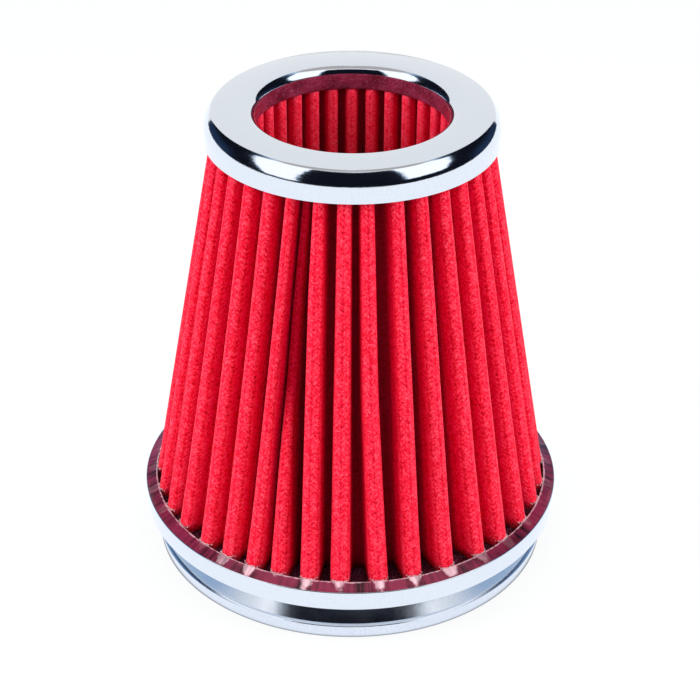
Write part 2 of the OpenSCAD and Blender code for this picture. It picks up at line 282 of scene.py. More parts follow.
# the compound takes more steps, because its film is coloured pleat by pleat
pieces = {}
for name, outline, steps in (
        ("topRing", topRingOutline(topRing), 256),
        ("topCompound", topCompoundOutline(topCompound, topRing), 256),
        ("basePan", basePanOutline(basePan), 256),
        ("baseCompound", baseCompoundOutline(baseCompound, basePan), 900),
        ("footRing", footRingOutline(footRing), 256)):
    pieces[name] = lathe(name, outline, steps, sharpCorners(outline, 28))
print("turned pieces made")


def newGroup(name, values):
    # a Geometry Nodes tree with one input, of the same name, for each value
    tree = bpy.data.node_groups.new(name, "GeometryNodeTree")
    sockets = tree.interface
    sockets.new_socket("Geometry", in_out="OUTPUT", socket_type="NodeSocketGeometry")
    sockets.new_socket("Geometry", in_out="INPUT", socket_type="NodeSocketGeometry")
    for key, value in values.items():
        kind = {"int": "Int", "float": "Float"}.get(type(value).__name__, type(value).__name__)
        sockets.new_socket(key, in_out="INPUT", socket_type="NodeSocket" + kind)
    add = partial(addNode, tree)
    return tree, add, add("NodeGroupInput").outputs


def useGroup(piece, tree, values):
    modifier = piece.modifiers.new(tree.name, "NODES")
    modifier.node_group = tree
    for item in tree.interface.items_tree:
        if item.in_out == "INPUT" and item.name in values:
            modifier[item.identifier] = values[item.name]


def applyModifiers(piece):
    bpy.context.view_layer.update()
    graph = bpy.context.evaluated_depsgraph_get()
    before = piece.data
    mesh = bpy.data.meshes.new_from_object(piece.evaluated_get(graph), depsgraph=graph)
    piece.modifiers.clear()
    piece.data = mesh
    bpy.data.meshes.remove(before)
    mesh.name = piece.name


# angles in degrees and lengths in mm; "thick" is the cloth, below zero where its clean side faces
# outwards, "folds" counts the tuck, "around" the points a fold, "tip" and "groove" are radii, and
# "tucked" is 1.0 where the first fold is the tucked one
outerCloth = {
    "thick": 1.0, "folds": 35, "around": 22, "levels": 44, "firstTurn": -103.6, "spacing": 360 / 34,
    "tipFoot": 72.0, "tipTop": 47.4, "grooveFoot": 60.1, "grooveTop": 40.9, "footZ": 22.5, "topZ": 164.0,
    "tipShare": 0.56, "tipLimit": 0.72, "roundness": 0.95, "footRoundness": 0.45, "footShare": 0.14,
    "wave": 0.16, "uneven": 0.5, "pushLeft": 4.3, "fadeLeft": 1.6, "pushRight": 1.7, "fadeRight": 1.2,
    "tucked": 1.0, "tuckTop": 5.4, "tuckFoot": 7.0, "tuckMid": 5.5, "tuckLean": 2.4, "tuckTip": 43.6,
    "tuckNarrow": 0.4, "drawnPleat": 3.0, "drawn": 1.5}
wellCloth = dict(
    outerCloth, thick=-0.9, folds=32, levels=24, firstTurn=90.5, spacing=360 / 32, tipFoot=32.0, tipTop=33.3,
    grooveFoot=41.0, grooveTop=37.6, footZ=84.0, topZ=161.8, tipShare=0.58, roundness=1.0, wave=0.1,
    uneven=0.0, pushLeft=0.0, pushRight=0.0, tucked=0.0, drawn=0.0)


def foldTurn(add, given, t, number):
    # direction of one fold at this height; the last fold joins the first after a full turn
    wrapped = add(mathNode, "FLOORED_MODULO", [number, given["folds"]])
    laps = add(mathNode, "FLOOR", [add(mathNode, "DIVIDE", [number, given["folds"]])])
    start = add(mathNode, "MULTIPLY_ADD", [laps, 360, given["firstTurn"]])
    isTuck = add(mathNode, "MULTIPLY", [given["tucked"], add(mathNode, "LESS_THAN", [wrapped, 0.5])])
    notTuck = add(mathNode, "SUBTRACT", [1, isTuck])
    plain = add(mathNode, "MULTIPLY", [add(mathNode, "SUBTRACT", [wrapped, given["tucked"]]), given["spacing"]])
    # the folds beside the tuck are pushed away from it, less and less, and none stands quite even:
    # 137 degrees from one to the next never repeats
    fromFirst = add(mathNode, "DIVIDE", [add(mathNode, "SUBTRACT", [1, wrapped]), given["fadeRight"]])
    last = add(mathNode, "SUBTRACT", [given["folds"], 1])
    fromLast = add(mathNode, "DIVIDE", [add(mathNode, "SUBTRACT", [wrapped, last]), given["fadeLeft"]])
    right = add(mathNode, "MULTIPLY", [given["pushRight"], add(mathNode, "EXPONENT", [fromFirst])])
    left = add(mathNode, "MULTIPLY", [given["pushLeft"], add(mathNode, "EXPONENT", [fromLast])])
    odd = add(mathNode, "SINE", [add(mathNode, "MULTIPLY", [wrapped, math.radians(137)])])
    pushed = add(mathNode, "MULTIPLY_ADD", [given["uneven"], odd, add(mathNode, "SUBTRACT", [right, left])])
    top = add(mathNode, "SUBTRACT", [add(mathNode, "MULTIPLY", [plain, notTuck]),
                                     add(mathNode, "MULTIPLY", [given["tuckTop"], isTuck])])
    atFoot = add(mathNode, "ADD", [plain, pushed])
    foot = add(mathNode, "SUBTRACT", [add(mathNode, "MULTIPLY", [atFoot, notTuck]),
                                      add(mathNode, "MULTIPLY", [given["tuckFoot"], isTuck])])
    straight = add(mathNode, "MULTIPLY_ADD", [add(mathNode, "SUBTRACT", [top, foot]), t, foot])
    # one pleat is drawn to the one before it, from half height upwards
    isDrawn = add(mathNode, "COMPARE", [wrapped, given["drawnPleat"], 0.5])
    rising = add(mathNode, "MINIMUM", [1, add(mathNode, "MULTIPLY", [2, t])])
    drawn = add(mathNode, "MULTIPLY", [isDrawn, add(mathNode, "MULTIPLY", [given["drawn"], rising])])
    # the tucked pleat leans against the one before it at half height
    bow = add(mathNode, "SINE", [add(mathNode, "MULTIPLY", [t, math.pi])])
    leaning = add(mathNode, "MULTIPLY", [isTuck, add(mathNode, "MULTIPLY", [given["tuckLean"], bow])])
    turn = add(mathNode, "SUBTRACT", [add(mathNode, "ADD", [straight, start]), drawn])
    return add(mathNode, "SUBTRACT", [turn, leaning]), isTuck


def foldedClothTree(values):
    # one folded cloth: a grid whose length runs round the folds and whose width runs up them
    tree, add, given = newGroup("foldedCloth", {key: values[key] for key in values if key != "thick"})
    index = add("GeometryNodeInputIndex")
    columns = add(mathNode, "MULTIPLY_ADD", [given["folds"], given["around"], 1])
    grid = add("GeometryNodeMeshGrid", None, {
        "Size X": 1.0, "Size Y": 1.0, "Vertices X": columns, "Vertices Y": given["levels"]})
    counted = add(mathNode, "DIVIDE", [add(mathNode, "ADD", [index, 0.001]), given["levels"]])
    column = add(mathNode, "FLOOR", [counted])
    row = add(mathNode, "SUBTRACT", [index, add(mathNode, "MULTIPLY", [column, given["levels"]])])
    t = add(mathNode, "DIVIDE", [row, add(mathNode, "SUBTRACT", [given["levels"], 1])])
    along = add(mathNode, "DIVIDE", [column, given["around"]])
    k = add(mathNode, "FLOOR", [add(mathNode, "ADD", [along, 0.0001])])
    u = add(mathNode, "SUBTRACT", [along, k])

    # u runs 0 to 1 from one tip to the next, v 0 to 1 from the near tip, k or k + 1, to the groove
    late = add(mathNode, "GREATER_THAN", [u, 0.5])
    j = add(mathNode, "ADD", [k, late])
    v = add(mathNode, "MULTIPLY", [2, add(mathNode, "MINIMUM", [u, add(mathNode, "SUBTRACT", [1, u])])])
    side = add(mathNode, "SUBTRACT", [1, add(mathNode, "MULTIPLY", [2, late])])
    mine, mineTuck = foldTurn(add, given, t, j)
    other = foldTurn(add, given, t, add(mathNode, "ADD", [j, side]))[0]
    apart = add(mathNode, "ABSOLUTE", [add(mathNode, "SUBTRACT", [other, mine])])
    halfPitch = add(mathNode, "MULTIPLY", [0.5, apart])

    tipPlain, groove, height = [
        add(mathNode, "MULTIPLY_ADD", [add(mathNode, "SUBTRACT", [given[high], given[low]]), t, given[low]])
        for low, high in (("tipFoot", "tipTop"), ("grooveFoot", "grooveTop"), ("footZ", "topZ"))]
    # the tuck's tip sinks below the others up to half height and then runs to its top
    twice = add(mathNode, "MULTIPLY", [2, t])
    sunk = add(mathNode, "MULTIPLY", [given["tuckMid"], twice])
    lastDrop = add(mathNode, "SUBTRACT", [given["tipTop"], given["tuckTip"]])
    change = add(mathNode, "SUBTRACT", [lastDrop, given["tuckMid"]])
    drop = add(mathNode, "MULTIPLY_ADD", [add(mathNode, "SUBTRACT", [twice, 1]), change, given["tuckMid"]])
    isHigh = add(mathNode, "GREATER_THAN", [t, 0.5])
    isLow = add(mathNode, "SUBTRACT", [1, isHigh])
    sink = add(mathNode, "ADD", [add(mathNode, "MULTIPLY", [sunk, isLow]), add(mathNode, "MULTIPLY", [drop, isHigh])])
    tip = add(mathNode, "SUBTRACT", [tipPlain, add(mathNode, "MULTIPLY", [mineTuck, sink])])

    # the tip takes its share of the pitch, less for the tucked pleat as it rises
    wide = add(mathNode, "MULTIPLY", [add(mathNode, "MULTIPLY", [0.5, given["spacing"]]), given["tipShare"]])
    less = add(mathNode, "MULTIPLY", [mineTuck, add(mathNode, "MULTIPLY", [given["tuckNarrow"], t])])
    narrowed = add(mathNode, "MULTIPLY", [wide, add(mathNode, "SUBTRACT", [1, less])])
    tipTurn = add(mathNode, "MINIMUM", [narrowed, add(mathNode, "MULTIPLY", [halfPitch, given["tipLimit"]])])

    # curves over the way from tip to groove: round the tip, down the wall, round the groove
    flatTip, roundGroove, flatDepth, roundDepth = [
        add("ShaderNodeFloatCurve", {"points": points}, {"Value": v}) for points in (
            [(0, 0), (0.08, 0.28), (0.16, 0.56), (0.23, 0.77), (0.3, 0.91), (0.38, 0.99), (0.44, 1), (1, 1)],
            [(0, 0), (0.36, 0), (0.6, 0.1), (0.8, 0.3), (0.92, 0.66), (1, 1)],
            [(0, 0), (0.08, 0.005), (0.16, 0.022), (0.23, 0.058), (0.3, 0.13), (0.38, 0.25), (0.6, 0.6),
             (0.8, 0.88), (0.92, 0.985), (1, 1)],
            [(0, 0), (0.08, 0.012), (0.16, 0.06), (0.23, 0.14), (0.29, 0.235), (0.36, 0.36), (0.6, 0.68),
             (0.8, 0.9), (0.92, 0.985), (1, 1)])]
    # the feet are pressed flat where they leave the compound
    rise = add(rangeNode, None, {
        "Value": t, "From Max": given["footShare"], "To Min": given["footRoundness"]})
    roundness = add(mathNode, "MULTIPLY", [given["roundness"], rise])
    depth = add(mathNode, "ADD", [add(mathNode, "MULTIPLY", [flatDepth, add(mathNode, "SUBTRACT", [1, roundness])]),
                                  add(mathNode, "MULTIPLY", [roundDepth, roundness])])

    # the wave dies out at the seam, at the foot and at the top, where the compound holds the cloth
    wobblePlace = add(joinNode, None, [
        add(mathNode, "MULTIPLY", [along, 2.3]), add(mathNode, "MULTIPLY", [t, 5.0])])
    wobble = add(noiseNode, {"noise_dimensions": "2D"}, {
        "Vector": wobblePlace, "Scale": 1.0, "Detail": 2.0, "Roughness": 0.5})
    upwards = add(mathNode, "SINE", [add(mathNode, "MULTIPLY", [t, math.pi])])
    lapShare = add(mathNode, "DIVIDE", [along, given["folds"]])
    onwards = add(mathNode, "SINE", [add(mathNode, "MULTIPLY", [lapShare, math.pi])])
    ends = add(mathNode, "MULTIPLY", [upwards, onwards])
    swing = add(mathNode, "MULTIPLY", [4, add(mathNode, "SUBTRACT", [wobble, 0.5])])
    sway = add(mathNode, "MULTIPLY", [add(mathNode, "MULTIPLY", [given["wave"], ends]), swing])

    atTip = add(mathNode, "MULTIPLY", [tipTurn, flatTip])
    spread = add(mathNode, "MULTIPLY_ADD", [add(mathNode, "SUBTRACT", [halfPitch, tipTurn]), roundGroove, atTip])
    turn = add(mathNode, "MULTIPLY_ADD", [side, spread, mine])
    swayed = add(mathNode, "MULTIPLY_ADD", [sway, add(mathNode, "SUBTRACT", [1, depth]), turn])
    angle = add(mathNode, "RADIANS", [swayed])
    fall = add(mathNode, "MULTIPLY", [add(mathNode, "SUBTRACT", [tip, groove]), depth])
    bare = add(mathNode, "SUBTRACT", [tip, fall])
    radius = add(mathNode, "MULTIPLY", [0.001, bare])
    place = add(joinNode, None, [
        add(mathNode, "MULTIPLY", [radius, add(mathNode, "COSINE", [angle])]),
        add(mathNode, "MULTIPLY", [radius, add(mathNode, "SINE", [angle])]),
        add(mathNode, "MULTIPLY", [0.001, height])])

    # cloth coordinates in mm: how far from the middle of the tip, and how far up the pleat;
    # the same on both walls, so the stitches run unbroken over the tip and through the groove
    wall = add(mathNode, "ABSOLUTE", [add(mathNode, "SUBTRACT", [tip, groove])])
    run = add(mathNode, "MULTIPLY", [v, add(mathNode, "ADD", [wall, 3])])
    clothPlace = add(joinNode, None, [run, height, depth])
    # the tucked pleat lies in the shade of its neighbours, so its depth counts from their tips
    below = add(mathNode, "DIVIDE", [add(mathNode, "SUBTRACT", [tipPlain, bare]),
                                     add(mathNode, "SUBTRACT", [tipPlain, groove])])
    hidden = add(rangeNode, None, [below, 0.42, 0.6])
    shade = add(mathNode, "MULTIPLY", [mineTuck, hidden])

    # each step takes the mesh from the one before it
    for kind, settings, inputs in (
            ("GeometryNodeStoreNamedAttribute", {"data_type": "FLOAT_VECTOR"}, {"Name": "cloth", "Value": clothPlace}),
            ("GeometryNodeStoreNamedAttribute", None, {"Name": "shade", "Value": shade}),
            ("GeometryNodeSetPosition", None, {"Position": place}),
            ("GeometryNodeMergeByDistance", None, {"Distance": 0.00002}),
            ("GeometryNodeSetShadeSmooth", None, {}),
            ("GeometryNodeRealizeInstances", None, {}),
            ("GeometryNodeSetMaterial", None, {"Material": given["material"]}),
            ("NodeGroupOutput", None, {})):
        grid = add(kind, settings, {"Geometry": grid, **inputs})
    return tree


def makeCloth(name, tree, values):
    made = newObject(name, bpy.data.meshes.new(name))
    useGroup(made, tree, values)
    # the thickness goes to the cloth's clean side
    thick = made.modifiers.new("thickness", "SOLIDIFY")
    thick.thickness = abs(values["thick"]) / 1000
    thick.offset = math.copysign(1, -values["thick"])
    thick.use_rim = True
    thick.use_even_offset = False
    applyModifiers(made)
    return made


# knitted cotton gauze, dyed red and oiled: columns of V stitches under a loose nap; column and
# stitch are in mm, and the rest are shares of the colour's way from the deep tone to the lit one
# "groove" is the share of the colour that painted shade leaves at the bottoms of the grooves
clothLook = {"lit": "FF5C72", "mid": "F01836", "deep": "A80418", "column": 3.2, "stitch": 1.86, "strand": 0.055,
             "plies": 0.03, "fuzz": 0.75, "nap": 0.5, "level": 0.52, "groove": 0.18, "wander": 1.6, "drift": 1.2,
             "slant": 1.25, "wallShadeTint": (-0.12, -0.9, -0.42), "sheen": 0.42, "sheenTint": "FF8C9C"}


def knittedCotton(name, v):
    material, add, space = newMaterial(name)
    cloth = add("ShaderNodeAttribute", {"attribute_name": "cloth"}).outputs["Vector"]
    across, up, depth = add(splitNode, None, [cloth]).outputs
    loose, drift, patch, fuzz, nap = [
        add(noiseNode, None, {"Vector": space, "Scale": scale, "Detail": detail, "Roughness": rough})
        for scale, detail, rough in ((480.0, 2.0, 0.5), (230.0, 2.0, 0.5), (55.0, 3.0, 0.5),
                                     (1600.0, 2.0, 0.6), (520.0, 2.0, 0.6))]
    # the yarn wanders by up to half a millimetre either way
    upLoose = add(mathNode, "MULTIPLY_ADD", [add(mathNode, "SUBTRACT", [loose, 0.5]), v["wander"], up])
    acrossLoose = add(mathNode, "MULTIPLY_ADD", [add(mathNode, "SUBTRACT", [drift, 0.5]), v["drift"], across])
    bent = add(mathNode, "PINGPONG", [acrossLoose, 0.5 * v["column"]])
    slanted = add(mathNode, "MULTIPLY_ADD", [bent, -v["slant"], upLoose])
    vee = add(mathNode, "MULTIPLY", [slanted, 2 * math.pi / v["stitch"]])
    plies = add(mathNode, "SINE", [add(mathNode, "MULTIPLY", [vee, 2.0])])
    # between two columns of stitches lies a dotted dark line
    columnTurn = add(mathNode, "MULTIPLY", [acrossLoose, 2 * math.pi / v["column"]])
    seam = add(rangeNode, eased, [add(mathNode, "COSINE", [columnTurn]), 0.55, 1.0])
    stitches = add(mathNode, "SINE", [add(mathNode, "MULTIPLY", [upLoose, 2 * math.pi / v["stitch"]])])
    dots = add(mathNode, "MULTIPLY", [seam, add(mathNode, "MULTIPLY_ADD", [stitches, 0.07, 0.09])])
    strands = add(mathNode, "MULTIPLY_ADD", [
        add(mathNode, "SINE", [vee]), v["strand"], add(mathNode, "MULTIPLY", [plies, v["plies"]])])
    weave = add(mathNode, "SUBTRACT", [strands, dots])
    hair = add(mathNode, "ADD", [add(mathNode, "MULTIPLY", [v["fuzz"], add(mathNode, "SUBTRACT", [fuzz, 0.5])]),
                                 add(mathNode, "MULTIPLY", [v["nap"], add(mathNode, "SUBTRACT", [nap, 0.5])])])
    relief = add(mathNode, "ADD", [v["level"], add(mathNode, "ADD", [weave, hair])])
    # painted light and shade on the knit: raised strands take the lit colour, the hollows between them the deep one,
    # and the fuzz varies it at random
    tone = add("ShaderNodeValToRGB", {"stops": ((0.2, v["deep"]), (0.47, v["mid"]), (0.8, v["lit"]))}, [relief])
    # dye lies deeper in patches, and painted shade darkens the bottoms of the grooves
    patchTone = add(rangeNode, None, [patch, 0.3, 0.7, 0.95, 1.03])
    grooveShade = add(rangeNode, eased, [depth, 0.55, 1.04, 1.0, v["groove"]])
    # painted shade: the walls, and the tucked pleat in its neighbours' shade, take a darker and deeper red than the
    # tips, whose nap is brushed pale; the sheen keeps to the tips
    wall = add(rangeNode, eased, [depth, 0.0, 0.42])
    shade = add("ShaderNodeAttribute", {"attribute_name": "shade"}).outputs["Fac"]
    inside = add(mathNode, "MAXIMUM", [wall, shade])
    wallShadeTint = add(joinNode, None, [
        add(mathNode, "MULTIPLY_ADD", [inside, change, 1.0]) for change in v["wallShadeTint"]])
    wallShaded = add(vectorNode, "MULTIPLY", [tone, wallShadeTint])
    shaded = add(mathNode, "MULTIPLY", [add(mathNode, "MULTIPLY", [patchTone, grooveShade]),
                                        add(mathNode, "MULTIPLY_ADD", [shade, -0.5, 1.0])])
    colour = add(vectorNode, "SCALE", {0: wallShaded, "Scale": shaded})
    bump = add("ShaderNodeBump", None, {"Height": relief, "Strength": 0.8, "Distance": 0.0006})
    body = add(surfaceNode, None, {
        "Base Color": colour, "Roughness": 0.85, "Normal": bump, "Specular IOR Level": 0.03,
        "Sheen Weight": add(mathNode, "MULTIPLY_ADD", [inside, -v["sheen"], v["sheen"]]),
        "Sheen Roughness": 0.32, "Sheen Tint": linearColour(v["sheenTint"])})
    add("ShaderNodeOutputMaterial", None, {"Surface": body})
    return material


# bright chromium plate on pressed steel, with the fine speckle the photo shows; "wetted" is the
# inner radius, outer radius and lowest height, in mm, of the face that compound has wetted
chromeLook = {"plate": "DDE2EA", "speck": "D8DEE6", "rough": 0.05, "grain": 1500.0, "wetted": None, "film": "6A2C4C"}


def chromePlate(name, v):
    material, add, space = newMaterial(name)
    grain = add(noiseNode, None, {"Vector": space, "Scale": v["grain"], "Detail": 3.0})
    haze = add(noiseNode, None, {"Vector": space, "Scale": 45.0, "Detail": 4.0, "Roughness": 0.6})
    # a faint orange peel left by polishing ruffles the edges of what it mirrors
    peel = add(noiseNode, None, {"Vector": space, "Scale": 420.0, "Detail": 2.0, "Roughness": 0.5})
    tone = add("ShaderNodeValToRGB", {"stops": ((0.35, v["speck"]), (0.62, v["plate"]))}, [grain])
    rough = add(rangeNode, None, [haze, 0.3, 0.7, v["rough"], v["rough"] * 2.4])
    height = add(mathNode, "MULTIPLY_ADD", [peel, 0.3, haze])
    bump = add("ShaderNodeBump", None, {"Height": height, "Strength": 0.1, "Distance": 0.0004})
    body = add(surfaceNode, None, {
        "Base Color": tone, "Metallic": 1.0, "Roughness": rough, "Normal": bump})
    if v["wetted"]:
        innerR, outerR, lowest = v["wetted"]
        flat = add(vectorNode, "MULTIPLY", [space, (1000, 1000, 0)])
        radius = add(vectorNode, "LENGTH", [flat]).outputs["Value"]
        ragged = add(noiseNode, None, {"Vector": space, "Scale": 260.0, "Detail": 3.0})
        reach = add(mathNode, "MULTIPLY_ADD", [add(mathNode, "SUBTRACT", [ragged, 0.5]), 0.9, radius])
        within = add(rangeNode, None, [reach, outerR - 0.35, outerR + 0.05, 1.0, 0.0])
        height = add(splitNode, None, [space]).outputs[2]
        high = add(mathNode, "GREATER_THAN", [height, lowest / 1000])
        outward = add(mathNode, "GREATER_THAN", [radius, innerR])
        wetted = add(mathNode, "MULTIPLY", [within, add(mathNode, "MULTIPLY", [high, outward])])
        film = add(surfaceNode, None, {
            "Base Color": linearColour(v["film"]), "Roughness": 0.32, "Coat Weight": 0.5, "Coat Roughness": 0.12,
            "Normal": bump})
        body = add("ShaderNodeMixShader", None, [add(mathNode, "MULTIPLY", [0.88, wetted]), body, film])
    add("ShaderNodeOutputMaterial", None, {"Surface": body})
    return material


# poured polyurethane sealing compound: glossy, with fine dust and small bubbles
compoundLook = {"dark": "5E1428", "light": "8C2A48", "dust": "A88498", "rough": 0.26, "edge": None}
# the film over the rim: maroon, with a painted reflection of each pleat pale in front of it and a painted highlight
# along its ridge, in mm
edgeLook = {"film": "7A2240", "pale": "F2CCD6", "filmFrom": 71.7, "ridgeZ": 24.76, "pleatReflection": 0.82}


def pouredCompound(name, v):
    material, add, space = newMaterial(name)
    cloud = add(noiseNode, None, {"Vector": space, "Scale": 180.0, "Detail": 4.0})
    dust = add(noiseNode, None, {"Vector": space, "Scale": 1700.0, "Detail": 2.0})
    bubbles = add("ShaderNodeTexVoronoi", None, {"Vector": space, "Scale": 900.0})
    tone = add("ShaderNodeValToRGB", {"stops": ((0.32, v["dark"]), (0.68, v["light"]))}, [cloud])
    pit = add(rangeNode, None, [bubbles.outputs["Distance"], 0.0, 0.25])
    height = add(mathNode, "MULTIPLY_ADD", [0.5, pit, cloud])
    bump = add("ShaderNodeBump", None, {"Height": height, "Strength": 0.25, "Distance": 0.0003})
    fleck = add(rangeNode, None, [dust, 0.56, 0.74, 0.0, 0.35])
    colour = add("ShaderNodeMix", inColour, {0: fleck, 6: tone, 7: linearColour(v["dust"])}).outputs[2]
    if v["edge"]:
        colour = edgeColour(add, space, v, v["edge"], colour)
    body = add(surfaceNode, None, {
        "Base Color": colour, "Roughness": v["rough"], "Normal": bump, "Coat Weight": 0.2,
        "Coat Roughness": 0.12, "Specular IOR Level": 0.35})
    add("ShaderNodeOutputMaterial", None, {"Surface": body})
    return material


def edgeColour(add, space, v, edge, colour):
    # the compound's colour, with the film over the rim, painted reflections of the pleats in front of them and a
    # painted highlight along the ridge
    flat = add(vectorNode, "MULTIPLY", [space, (1000, 1000, 0)])
    radius = add(vectorNode, "LENGTH", [flat]).outputs["Value"]
    around = add(vectorNode, "NORMALIZE", [flat])
    y, z = add(splitNode, None, [space]).outputs[1:]
    # the last of the three is brushed outward: the streaks only change round the rim
    noises = [add(noiseNode, None, {"Vector": place, "Scale": scale, "Detail": detail})
              for place, scale, detail in ((space, 700.0, 3.0), (space, 110.0, 2.0), (around, 42.0, 3.0))]
    rag, patchy, streak = [add(mathNode, "SUBTRACT", [noise, 0.5]) for noise in noises]
    film = add(rangeNode, None, [radius, edge["filmFrom"] - 0.2, edge["filmFrom"]])
    brushed = add(mathNode, "MULTIPLY_ADD", [add(mathNode, "ADD", [streak, patchy]), 2.6, 0.68])
    filmTone = add("ShaderNodeMix", inColour, {0: brushed, 6: linearColour(v["dark"]), 7: linearColour(edge["film"])})
    onRim = add("ShaderNodeMix", inColour, {0: film, 6: colour, 7: filmTone.outputs[2]}).outputs[2]
    # "near" is how far, in mm, the nearest pleat stands from the ridge; the painted reflection narrows outward
    near = add("ShaderNodeAttribute", {"attribute_name": "near"}).outputs["Fac"]
    run = add(mathNode, "MULTIPLY", [0.17, add(mathNode, "SUBTRACT", [radius, edge["filmFrom"]])])
    torn = add(mathNode, "MULTIPLY_ADD", [rag, 0.7, add(mathNode, "MULTIPLY", [patchy, 2.0])])
    reach = add(mathNode, "ADD", [add(mathNode, "ADD", [near, run]), torn])
    pleatReflection = add(rangeNode, eased, [reach, edge["pleatReflection"] - 0.2, edge["pleatReflection"] + 0.2, 0.8, 0.0])
    # a painted highlight along the top of the ridge
    height = add(mathNode, "MULTIPLY_ADD", [rag, 0.5, add(mathNode, "MULTIPLY", [1000, z])])
    high = add(rangeNode, None, [height, edge["ridgeZ"], edge["ridgeZ"] + 0.12])
    outward = add(mathNode, "GREATER_THAN", [radius, edge["filmFrom"]])
    # the painted reflection is strongest at the front and all but gone at the sides
    reflectionAhead = add(rangeNode, eased, [y, -0.068, -0.05, 1.0, 0.08])
    reflectionWash = add(mathNode, "MULTIPLY", [add(mathNode, "MULTIPLY", [pleatReflection, reflectionAhead]),
                                        add(mathNode, "MULTIPLY_ADD", [streak, 2.2, 0.8])])
    reflectionAndHighlight = add(mathNode, "MAXIMUM", [reflectionWash, add(mathNode, "MULTIPLY", [0.5, high])])
    pale = add(mathNode, "MULTIPLY", [reflectionAndHighlight, outward])
    return add("ShaderNodeMix", inColour, {0: pale, 6: onRim, 7: linearColour(edge["pale"])}).outputs[2]


# zinc plated mild steel wire and pressings: grey, with a faint spangle
def zincSteel(name, plate, spangle):
    material, add, space = newMaterial(name)
    cells = add("ShaderNodeTexVoronoi", None, {"Vector": space, "Scale": 260.0})
    grain = add(noiseNode, None, {"Vector": space, "Scale": 1200.0, "Detail": 3.0})
    mixed = add(mathNode, "MULTIPLY_ADD", [0.5, cells.outputs["Color"], add(mathNode, "MULTIPLY", [0.5, grain])])
    tone = add("ShaderNodeValToRGB", {"stops": ((0.25, spangle), (0.75, plate))}, [mixed])
    bump = add("ShaderNodeBump", None, {"Height": grain, "Strength": 0.12, "Distance": 0.0002})
    body = add(surfaceNode, None, {
        "Base Color": tone, "Metallic": 1.0, "Roughness": 0.38, "Normal": bump})
    add("ShaderNodeOutputMaterial", None, {"Surface": body})
    return material


# moulded black rubber with mould texture and a trace of bloom
def mouldedRubber(name):
    material, add, space = newMaterial(name)
    grain = add(noiseNode, None, {"Vector": space, "Scale": 1400.0, "Detail": 4.0})
    bloom = add(noiseNode, None, {"Vector": space, "Scale": 70.0, "Detail": 4.0})
    tone = add("ShaderNodeValToRGB", {"stops": ((0.35, "151517"), (0.75, "2A2A2D"))}, [bloom])
    bump = add("ShaderNodeBump", None, {"Height": grain, "Strength": 0.3, "Distance": 0.0002})
    body = add(surfaceNode, None, {"Base Color": tone, "Roughness": 0.62, "Normal": bump})
    add("ShaderNodeOutputMaterial", None, {"Surface": body})
    return material


outerCotton = knittedCotton("knittedCotton", clothLook)
# a brighter copy of the cotton for the well: painted light, so the pleats down in the shaded well come out lighter
brightenedWellCotton = knittedCotton("knittedCottonWell", dict(
    clothLook, lit="FF6078", mid="FF2C4A", deep="D00C28", groove=0.2))
maroonCompound = pouredCompound("maroonCompound", compoundLook)
# a darker copy of the sealing compound for the base: painted shade for the compound down between the pleats' feet
darkCompound = pouredCompound("darkCompound", dict(
    compoundLook, dark="260A14", light="42182A", rough=0.22, edge=edgeLook))
paleAdhesive = pouredCompound("paleAdhesive", dict(compoundLook, dark="C79AA8", light="F0DCE2", rough=0.3))
for name, material in (
        ("topRing", chromePlate("chromePlate", chromeLook)),
        ("basePan", chromePlate("chromePlateBase", dict(chromeLook, rough=0.08, wetted=(72.7, 75.8, 23.15)))),
        ("footRing", chromePlate("chromePlateFoot", dict(chromeLook, plate="D8DEE8", speck="D0D7E2", rough=0.11))),
        ("topCompound", maroonCompound), ("baseCompound", darkCompound)):
    pieces[name].data.materials.append(material)
for nodeName, material in (
        ("support_cage", zincSteel("zincSteelCage", "B4B7BC", "96999F")),
        ("well_cap", zincSteel("zincSteelCap", "C0C2C6", "A3A6AB")),
        ("well_cap_compound", maroonCompound), ("inlet_collar", mouldedRubber("mouldedRubber"))):
    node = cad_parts[nodeName]
    if not node.material_slots:
        node.data.materials.append(material)
    for slot in node.material_slots:
        slot.material = material
print("materials made")

outerValues = dict(outerCloth, material=outerCotton)
clothTree = foldedClothTree(outerValues)
pieces["outerPleats"] = makeCloth("outerPleats", clothTree, outerValues)
pieces["wellPleats"] = makeCloth("wellPleats", clothTree, dict(wellCloth, material=brightenedWellCotton))
print("cloth folded")


# what squeezed out when the feet were pressed into the wet compound: pale crumbs along each pleat's foot,
# whose paleness also stands in for painted highlights at the feet; lengths in mm and crumbs a square mm
squeezeOut = {"seed": 7, "crumbs": 2.4, "footZ": 24.5, "level": 26.6, "probeR": 71.8, "probeZ": 25.2}


